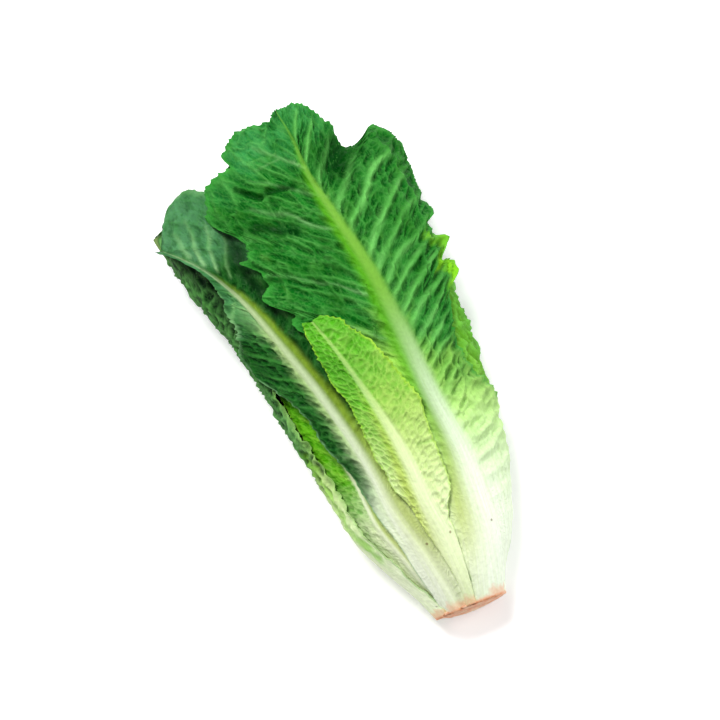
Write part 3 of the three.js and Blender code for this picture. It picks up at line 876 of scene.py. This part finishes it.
# %% The outer leaves
LEAVES = {
    "small_front_leaf": {
        **PLAIN_LOOKS,
        "base": 0.5,
        "tip": 146,
        "rise_at_tip": -14,
        "vein_shown": (0.4, 0.4),
        "net_shown": (0.4, 0.4),
        "rib": [[3, -1], [26, -1.5], [54, -3], [83, -6], [104, -9.5], [131, -13.5], [149, -17]],
        "depth": [[0, 2, 1.6, 2], [7, 1.3, 0.9, 1.3], [16, 0.6, 0.2, 0.6], [34, 0.4, 0, 0.5],
                  [56, -0.2, -0.5, 0.2], [85, -0.9, -1.2, -0.4], [149, -1, -1.4, -0.8]],
        "left": [[3, 2.4], [12, 2.4], [23, 4.5], [35, 7.5], [45, 9.5], [49, 12.5], [57, 15],
                 [67, 16.5], [80, 15.5], [98, 12.5], [107, 13.5], [122, 12], [136, 9], [146, 5]],
        "right": [[3, 2.6], [11, 3.5], [20, 4.5], [28, 6], [38, 9.5], [44, 15.5], [60, 17],
                  [68, 18.5], [80, 21.5], [96, 21], [111, 19], [121, 17], [134, 13],
                  [142, 9], [146, 5]],
        "stoutness": 0.36,
        "rib_width": (0.6, 0.9),
        "rib_fade": (55, 118),
        "slot": "pale_leaf",
        "teeth": 0.8,
        "vein_gap": (6, 6),
        "vein_width": (0.8, 0.8),
        "vein_height": (0.3, 0.3),
        "blister": (0.8, 0.8),
        "cell": ((4.4, 4.2), (3.1, 3.4)),
        "crumple": (0.5, 0.6),
        "rib_spread": 1.2,
        "ruffle": (0.8, 1.2),
        "frill": (0.9, 1.1),
        "swing": 0.7,
        "rough_from": (15, 50),
        "green_from": ((40, 150), (60, 160)),
        "shaded_flank_side": -1,
        "shaded_flank_at": 1.9,
        "shaded_flank_wide": (1.1, 0.9),
        "creases_and_shade": ((3, 74, 10, 73, 0.6, 0.4), (-12, 88, -5, 60, 1.2, 0.3)),
        "seed": 1,
    },
    "front_leaf": {
        **PLAIN_LOOKS,
        "base": 0,
        "tip": 253.5,
        "rib": [[0, 42], [28, 35], [60, 30], [95, 22], [130, 21], [160, 20], [190, 17],
                [215, 17], [235, 19.5], [256, 21]],
        "depth": [[0, 3.1, 3.1, 3.1], [24, 2, 3, 2], [60, 2, 3, 3], [80, 2, 3, 4],
                  [110, 2, 3, 4], [119, 2.4, 3, 2], [138, 5, 3.4, 2], [172, 5, 3.4, 2],
                  [200, 3.2, 3, 2], [256, 2.6, 3, 2]],
        "left": [[0, 11], [20, 15], [35, 19], [50, 27], [77, 41], [103, 47], [111, 46], [116, 53],
                 [120, 55], [124, 50], [127, 60], [133, 61], [138, 58], [145, 59], [147, 64],
                 [150, 60], [161, 60], [164, 68], [168, 70], [174, 68], [183, 65], [190, 58],
                 [196, 50], [200, 46], [204, 47.5], [209, 46], [217, 39.5], [226, 28.5], [231, 21],
                 [238, 12.5], [245, 7], [250, 3], [253.5, 0.6]],
        "right": [[0, 11], [12, 16], [27, 27], [48, 40], [60, 45], [66, 43], [72, 38], [80, 32],
                  [91, 30], [103, 32], [112, 36], [117, 40], [119.5, 51], [123, 54], [127, 52],
                  [129.5, 45], [132, 52], [136, 54], [139, 51], [143, 49], [147, 50], [149, 57],
                  [153, 62], [158, 69], [172, 74], [181, 71], [187, 68], [190, 61], [192, 49], [194, 43],
                  [200, 35.5], [208, 37.5], [214, 36], [226, 31], [234, 23], [241, 15],
                  [247, 7.5], [251, 3], [253.5, 0.6]],
        "vein_shown": (0.4, 1),
        "net_shown": (0.3, 0.7),
        "wash": (0.1, 0.3),
        "stoutness": 1,
        "rib_width": (1.0, 1.15),
        "teeth": 1.3,
        "vein_starts": (
            (58, 70, 82, 92, 103, 113, 122, 131, 140, 149, 158, 168, 178, 190, 207, 226, 238),
            (30, 40, 49, 58, 66, 74, 82, 89, 97, 104, 112, 119, 127, 134, 143, 150, 158, 167,
             181, 193, 208, 222, 236),
        ),
        "crumple": (1.5, 0.4),
        "vein_width": (1.0, 2.0),
        "vein_height": (1.3, 2.4),
        "vein_fade": (0.35, 0.55),
        "blister": (1.1, 1.9),
        "cell": ((12, 10.5), (4, 4.2)),
        "rib_spread": 1.1,
        "bloom_from": ((212, 240), (228, 246)),
        "rib_fade": (180, 256),
        "ruffle": (3.1, 2),
        "lift": (1.6, 0),
        "ruffle_from": ((140, 175), (25, 90)),
        "frill": (1.4, 1.2),
        "green_from": ((100, 150), (70, 135)),
        "shaded_flank_side": -1,
        "shaded_flank_at": 1.3,
        "shaded_flank_wide": (1.0, 0.75),
        "creases_and_shade": (
            (18, 216, 22, 224, 9, 5),
            (-33, 219, -21, 212, 1.2, 3),
            (-18, 213, -6, 211, 1.5, 2.4),
            (-26, 232, -14, 226, 2.5, -1.2),
            (-30, 200, -12, 190, 3, 1.2),
            (-34, 186, -14, 176, 3, -1.2),
            (40, 219, 44, 226, 6, -3),
            (50, 178, 51, 184, 2.6, -4),
            (51, 162, 51, 166, 2.4, -3.2),
            (51, 149, 51, 155, 3, -3.6),
            (-44, 202, -42, 217, 5, -2.5),
        ),
        "limes": ((1, 143, 158, 0, 9, 0.85), (1, 160, 171, 0, 7, 0.6)),
        "traces": (
            (3, 219, -17, 236, 0.8, 0.75),
            (-6, 227, -20, 226, 0.6, 0.5),
            (6, 183, -28, 209, 0.8, 0.7),
            (7, 150, -32, 176, 0.7, 0.5),
            (9, 128, -24, 146, 0.7, 0.4),
            (5, 202, -24, 222, 0.7, 0.45),
        ),
        "seed": 2,
    },
    "left_leaf": {
        **PLAIN_LOOKS,
        "base": 0,
        "tip": 212,
        "rib": [[0, -30], [25, -26], [67, -29], [111, -35], [149, -43], [178, -49], [196, -56],
                [206, -65], [212, -74]],
        "depth": [[0, 3.1, 3.1, 3.1], [24, 2.2, 4, 5.6], [60, 2.2, 4.8, 6.8],
                  [128, 2.2, 4.8, 6.8], [144, 2.4, 5.4, 8], [174, 2.4, 5.2, 8],
                  [198, 0.6, 2.6, 7.8], [230, 0.2, 2, 7.8]],
        "vein_shown": (0.7, 0.3),
        "net_shown": (0.6, 0.25),
        "wash": (0.85, 0),
        "teeth": 0.6,
        "left": [[0, 8.5], [20, 8], [38, 7], [60, 9.5], [71, 13], [84, 16.5], [100, 18],
                 [110, 22], [119, 34], [130, 35], [139, 25], [150, 16], [162, 12], [172, 9],
                 [182, 4], [192, 2], [212, 1]],
        "right": [[0, 11], [20, 14], [52, 22], [87, 30], [134, 36], [174, 40], [192, 40],
                  [198, 37], [205, 33], [212, 22]],
        "stoutness": 0.9,
        "rib_width": (0.42, 0.95),
        "rib_fade": (160, 192),
        "slot": "waxy_leaf",
        "crumple": (0.8, 0.8),
        "vein_gap": (9, 10),
        "vein_width": (1.2, 1.2),
        "vein_height": (1.0, 0.4),
        "vein_fade": (0.5, 0.3),
        "blister": (1.0, 0.6),
        "cell": ((7, 7), (4, 5)),
        "bloom_from": ((150, 166), (184, 200)),
        "shaded_flank_at": 1.5,
        "shaded_flank_wide": (1.7, 0.8),
        # The first three run under the front leaf's margin: painted shadow of that margin.
        "creases_and_shade": (
            (-45, 207, -42, 181, 4, 0.9),
            (-42, 181, -36, 159, 3.5, 0.9),
            (-33, 143, -24, 106, 3, 0.8),
            (-57, 154, -56, 171, 1.3, -1.8),
        ),
        "traces": (
            (-55, 190, -53, 213, 0.9, 0.8),
            (-60, 196, -61, 220, 1, 0.8),
            (-50, 183, -46, 208, 0.8, 0.7),
            (-64, 203, -69, 217, 1, 0.6),
            (-54, 202, -49, 211, 0.7, 0.5),
            (-53, 171, -57, 156, 0.9, 0.9),
            (-51, 168, -45, 152, 3.5, 0.5),
        ),
        "green_from": ((40, 66), (60, 110)),
        "seed": 3,
    },
    "lime_left_leaf": {
        **PLAIN_LOOKS,
        "base": 3,
        "tip": 152,
        "rib": [[3, -57], [40, -53], [100, -56], [138, -63], [152, -65]],
        "depth": [[3, 4.6, 5.4, 7], [45, 4.2, 6.5, 9], [75, 4.7, 8.4, 12], [98, 5.2, 8.4, 12],
                  [114, 7, 9, 12], [132, 8.4, 10, 12], [152, 9.4, 10.8, 12]],
        "left": [[3, 7], [20, 9], [33, 13], [42, 14], [50, 13], [60, 14], [72, 13], [84, 14],
                 [96, 13], [110, 14], [126, 13], [140, 8], [152, 1.5]],
        "right": [[3, 8], [40, 10], [80, 14], [115, 14], [138, 9], [152, 1.5]],
        "stoutness": 0.45,
        "slot": "lime_leaf",
        "rib_width": (0.3, 0.4),
        "teeth": 1.2,
        "vein_height": (0.5, 0.5),
        "blister": (0.7, 0.7),
        "cell": ((4, 4), (3, 3)),
        "rough_from": (10, 40),
        "ruffle": (0.3, 0.3),
        "green_from": ((28, 95), (28, 95)),
        "seed": 4,
    },
    "left_side_leaf": {
        **PLAIN_LOOKS,
        "base": 0,
        "tip": 226,
        "rib": [[0, -92], [30, -105], [80, -118], [150, -122], [200, -116], [226, -108]],
        "depth": [[0, 3.1, 3.1, 3.1], [24, 2.2, 2.8, 2.8], [45, 2, 2, 2.9], [58, 2, 1.6, 3.2],
                  [74, 2.2, 1.2, 3.6], [100, 2.2, 1.2, 3.8], [130, 2, 1.3, 6],
                  [190, 1.2, 0.4, 9], [215, 0, -1, 13], [240, -2, -4, 13]],
        "left": [[0, 9.3], [15, 12], [40, 24], [80, 36], [120, 44], [160, 48], [190, 42],
                 [210, 27], [226, 1.5]],
        "right": [[0, 12], [15, 13], [30, 18], [45, 23], [60, 28.5], [80, 33], [100, 37], [120, 41],
                  [150, 48], [175, 57],
                  [186, 51], [196, 38], [206, 23], [216, 10], [226, 1.5]],
        "slot": "dark_leaf",
        "crumple": (0.6, 0.9),
        "teeth": 1.1,
        "blister": (1.6, 1.6),
        "cell": ((7, 7), (5, 5)),
        "rough_from": (10, 60),
        "frill": (1, 0.35),
        "ruffle": (1.2, 0.5),
        "green_from": ((40, 120), (50, 122)),
        "limes": ((1, 32, 50, 6, 3.5, 0.7), (1, 44, 92, 8, 3.5, 0.5)),
        # Both run beside the rib of left_leaf, which lies over this leaf: painted shadow.
        "creases_and_shade": (
            (-72, 206, -61, 184, 4, 2),
            (-61, 184, -56, 160, 3.5, 2),
        ),
        "rib_fade": (110, 180),
        "net_shown": (1, 3),
        "shaded_flank_side": -1,
        "seed": 5,
    },
    "under_leaf": {
        **PLAIN_LOOKS,
        "base": 0,
        "tip": 236,
        "rib": [[0, -165], [40, -176], [120, -180], [236, -178]],
        "depth": OVER_LEFT,
        "left": [[0, 9.3], [15, 12], [40, 26], [80, 44], [120, 54], [170, 58], [200, 46],
                 [220, 26], [236, 1.5]],
        "right": [[0, 9.3], [15, 12], [40, 26], [80, 44], [120, 54], [170, 58], [200, 46],
                  [220, 26], [236, 1.5]],
        "rise_at_tip": -8,
        "seed": 6,
    },
    "right_side_leaf": {
        **PLAIN_LOOKS,
        "base": 0,
        "tip": 214,
        "rib": [[0, 122], [40, 120], [100, 122], [214, 116]],
        "depth": [[0, 3.1, 3.1, 3.1], [24, 5.6, 4, 5.6], [40, 7.6, 4.6, 7], [60, 7.8, 4.6, 7.8],
                  [100, 7.6, 4.6, 7.8], [140, 7, 5, 7.6], [256, 6.8, 5, 7.4]],
        "limes": ((-1, 84, 150, 30, 28, 0.34),),
        "crumple": (0.6, 0.5),
        "net_shown": (2.4, 1),
        "vein_height": (1.6, 1),
        "blister": (1.6, 0.8),
        "left": [[0, 9.3], [15, 12], [30, 22], [42, 46], [56, 62], [80, 66], [110, 64],
                 [130, 56], [160, 44], [190, 30], [214, 1.5]],
        "right": [[0, 9.3], [15, 12], [40, 20], [80, 32], [130, 40], [170, 38], [200, 20],
                  [214, 1.5]],
        "seed": 7,
    },
}
print(len(LEAVES), "outer leaves")

# %% [markdown]
# ## The inner leaves
# Only their tips show, in nested rings from green to pale yellow. They follow one outline, and
# get slighter and less rough towards the heart.

# %% The inner leaves
INNER_LEAVES = [
    # name, start, tip, rib angles, rib depth, widest half width, finish
    ("top_inner_leaf", 9, 236, (6, -4, -12), 10.2, 44, "green_leaf"),
    ("right_inner_leaf", 9, 224, (76, 80, 78), 10.2, 40, "green_leaf"),
    ("under_right_inner_leaf", 9, 228, (152, 155, 158), 10.2, 44, "green_leaf"),
    ("under_left_inner_leaf", 9, 214, (-138, -140, -136), 10.2, 44, "green_leaf"),
    ("upper_left_heart_leaf", 19, 232, (-58, -56, -52), 16, 36, "pale_leaf"),
    ("upper_right_heart_leaf", 19, 236, (40, 42, 44), 16, 36, "pale_leaf"),
    ("lower_right_heart_leaf", 19, 226, (130, 132, 134), 16, 34, "pale_leaf"),
    ("lower_left_heart_leaf", 19, 220, (-150, -148, -146), 16, 34, "pale_leaf"),
    ("top_heart_leaf", 31, 226, (-8, -6, -4), 21.8, 26, "heart_leaf"),
    ("right_heart_leaf", 31, 220, (108, 106, 104), 21.8, 25, "heart_leaf"),
    ("left_heart_leaf", 31, 214, (-128, -126, -124), 21.8, 25, "heart_leaf"),
    ("small_right_heart_leaf", 46, 202, (62, 60, 58), 27, 15, "heart_leaf"),
    ("small_left_heart_leaf", 46, 194, (-118, -120, -122), 27, 15, "heart_leaf"),
]
for number, (name, base, tip, angles, depth, breadth, finish) in enumerate(INNER_LEAVES):
    length = tip - base
    widths = [[base + share * length, max(part * breadth, 1.5)] for share, part in PLAIN_OUTLINE]
    rib = [[base + k / (len(angles) - 1) * length, angle] for k, angle in enumerate(angles)]
    LEAVES[name] = {
        **PLAIN_LOOKS,
        "base": base,
        "tip": tip,
        "rib": rib,
        "depth": [[base, depth - 1.6, depth - 0.9, depth + 1.2],
                  [base + 35, depth - 1, depth, depth + 3],
                  [base + 60, depth - 1, depth, depth + 3],
                  [262, depth - 1, depth, depth + 3]],
        "left": widths,
        "right": widths,
        "rise_at_tip": -10,
        "green_from": ((50 + 5 * depth, 140 + 7 * depth), (50 + 5 * depth, 140 + 7 * depth)),
        "stoutness": 0.78 - 0.025 * (depth - 10.2),
        "rib_width": (0.8, 0.6),
        "slot": finish,
        "vein_height": (0.8, 0.8),
        "blister": (0.7, 0.7),
        "crumple": (0.4, 0.4),
        "ruffle": (1.1, 1.1),
        "frill": (0.9, 0.9),
        "teeth": 1,
        "seed": 20 + number,
    }
print(len(INNER_LEAVES), "inner leaves")

# %% [markdown]
# Leaves that show most get the finest grids.

# %% Model every leaf
STEPS = {"front_leaf": 0.95, "left_leaf": 0.9, "small_front_leaf": 0.55, "lime_left_leaf": 1,
         "left_side_leaf": 1.1, "under_leaf": 1.5, "right_side_leaf": 1.2}
INNER_STEP = 2.0
for name, leaf in LEAVES.items():
    piece = make_leaf(name, leaf, STEPS.get(name, INNER_STEP))
    piece.data.materials.append(MATERIALS[leaf["slot"]])

# %% [markdown]
# ## The cut stem
# The stem is one round body. Its face bulges a little where the knife went through, and shows a
# paler pith with crescents round it, the seams of old leaf bases. A ball has the right net of
# faces for that: every point keeps its place round the axis and moves to its place on the profile.

# %% Stem
STEM_PROFILE = np.array([
    # radius, distance from the cut
    [0, -2.2], [6, -1.9], [12, -1], [15, -0.4], [17, 0.2], [17.5, 0.7], [17, 1.4],
    [12.6, 4.5], [11.8, 9], [11.8, 40], [8, 46], [0, 47],
])
STEM_SIDES = 120
STEM_RINGS = 110
SEAMS = 9
SEAM_TURN = 2.4  # radians from one old leaf base to the next
FIRST_SEAM = 8.6  # mm from the axis
SEAM_GAP = 0.7
SEAM_WIDTH = 0.45
RIM_RADIUS = 17.4


def make_stem():
    """The stem, with masks for its cut face and for the rim, seams and pith of that face."""
    bpy.ops.object.select_all(action="DESELECT")
    bpy.ops.mesh.primitive_uv_sphere_add(segments=STEM_SIDES, ring_count=STEM_RINGS, radius=1)
    piece = bpy.context.object
    piece.name = "stem_skin"
    mesh = piece.data
    ball = np.empty(3 * len(mesh.vertices))
    mesh.vertices.foreach_get("co", ball)
    ball = ball.reshape(-1, 3)
    walk = np.arccos(np.clip(ball[:, 2], -1, 1)) / math.pi
    turn = np.arctan2(ball[:, 1], ball[:, 0])
    lengths = np.hypot(*np.diff(STEM_PROFILE, axis=0).T)
    marks = np.concatenate([[0], np.cumsum(lengths)]) / lengths.sum()
    nearer = walk ** 1.5
    radius = np.interp(nearer, marks, STEM_PROFILE[:, 0])
    away = np.interp(nearer, marks, STEM_PROFILE[:, 1])
    across, upwards = radius * np.cos(turn), radius * np.sin(turn)
    uneven = hills(across / 4 + 20, upwards / 4 + 20, 61)
    uneven = uneven + 0.5 * hills(across + 30, upwards + 30, 62)
    away = away + 0.35 * uneven * (away < 3)
    wobble = hills(4 * np.cos(turn) + 8, 4 * np.sin(turn) + 8, 63)
    wobble = wobble + 0.6 * hills(11 * np.cos(turn) + 20, 11 * np.sin(turn) + 20, 64)
    radius = radius + 0.6 * wobble * (radius > 14)
    middle = HEAD[0][3] / 2 - SETTLE
    points = np.stack([radius * np.cos(turn), away, middle + radius * np.sin(turn)], axis=-1)
    mesh.vertices.foreach_set("co", in_scene(pressed(points)).ravel())
    seams = np.zeros_like(radius)
    for number in range(SEAMS):
        off = (turn - SEAM_TURN * number + math.pi) % math.tau - math.pi
        seam = radius - FIRST_SEAM - SEAM_GAP * number - 2.6 * off ** 2 + 1.1 * uneven
        seams = np.maximum(seams, np.exp(-(seam / SEAM_WIDTH) ** 2) * smooth(abs(off), 0.9, 0.4))
    masks = {
        "face": smooth(away, 2.6, 1.2),
        "rim": np.exp(-((radius - RIM_RADIUS) / 0.9) ** 2) * smooth(away, 4, 2),
        "seams": seams,
        "pith": smooth(radius + 0.8 * uneven, 8.5, 6),
    }
    for mask, values in masks.items():
        attribute = mesh.attributes.new(mask, "FLOAT", "POINT")
        attribute.data.foreach_set("value", values)
    mesh.update()
    bpy.ops.object.shade_smooth()
    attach(piece, "root")
    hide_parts("stem_core")
    return piece


def stem_material():
    """White flesh, with an orange face, a paler pith, darker seams and a browner rim."""
    material = bpy.data.materials.new("stem")
    material.use_nodes = True
    tree = material.node_tree
    shader = tree.nodes["Principled BSDF"]
    where = tree.nodes.new("ShaderNodeTexCoord").outputs["Object"]
    stains = noise_of(tree, where, 260, 4)
    orange = mixed(tree, stepped(tree, stains, 0.3, 0.75), colour(255, 216, 182),
                   colour(250, 164, 122))
    pith = times(tree, mask_of(tree, "pith"), 0.6)
    orange = mixed(tree, pith, orange, colour(255, 230, 200))
    seams = times(tree, mask_of(tree, "seams"), 0.6)
    orange = mixed(tree, seams, orange, colour(196, 116, 74))
    brown = times(tree, mask_of(tree, "rim"), stepped(tree, stains, 0.3, 0.6))
    rim = mixed(tree, brown, orange, colour(170, 104, 66))
    skin = mixed(tree, mask_of(tree, "face"), colour(240, 244, 224), rim)
    tree.links.new(skin, shader.inputs["Base Color"])
    shader.inputs["Roughness"].default_value = 0.55
    shader.inputs["Specular IOR Level"].default_value = 0.15
    relief = tree.nodes.new("ShaderNodeBump")
    relief.inputs["Strength"].default_value = RELIEF_STRENGTH
    relief.inputs["Distance"].default_value = RELIEF_DEPTH
    tree.links.new(noise_of(tree, where, 900, 3), relief.inputs["Height"])
    tree.links.new(relief.outputs["Normal"], shader.inputs["Normal"])
    return material


stem = make_stem()
stem.data.materials.append(stem_material())
print("the stem has", len(stem.data.polygons), "faces")
